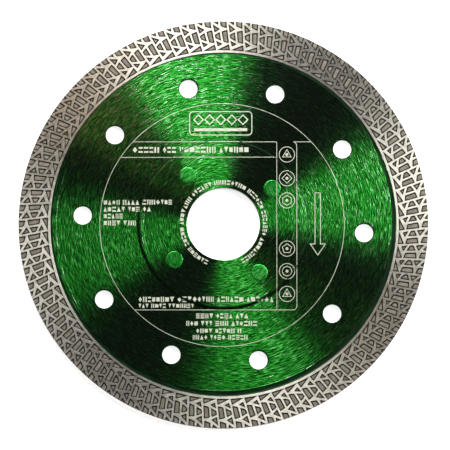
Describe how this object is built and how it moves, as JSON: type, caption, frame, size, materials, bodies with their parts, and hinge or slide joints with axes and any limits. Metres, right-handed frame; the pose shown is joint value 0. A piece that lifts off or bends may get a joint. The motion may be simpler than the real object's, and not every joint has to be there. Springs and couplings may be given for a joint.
{
  "type": "diamond blade",
  "caption": "Thin round cutting blade: lacquered steel core with cooling holes, riveted hub flanges, central bore and a sintered mesh-turbo diamond rim.",
  "frame": {"origin": "on the bore axis, at the clamping face of the back flange", "axes": "+Z along the bore axis, out of the printed front face; +X to the right and +Y up as the print reads"},
  "size_m": [0.125, 0.125, 0.0026],
  "materials": {
    "core_lacquer": "circularly brushed steel under transparent green lacquer",
    "flange_lacquer": "brushed steel under the same green lacquer",
    "rivet_lacquer": "ground flush rivet heads under green lacquer",
    "sintered_rim": "sintered bronze-grey metal bond with diamond grit, ground bright on the rib tops",
    "silver_print": "thin silver screen print"
  },
  "bodies": {
    "root": {"steel_core": "core_lacquer", "diamond_rim": "sintered_rim", "front_flange": "flange_lacquer", "back_flange": "flange_lacquer", "rivet_1": "rivet_lacquer", "rivet_2": "rivet_lacquer", "rivet_3": "rivet_lacquer", "rivet_4": "rivet_lacquer"}
  },
  "joints": []
}
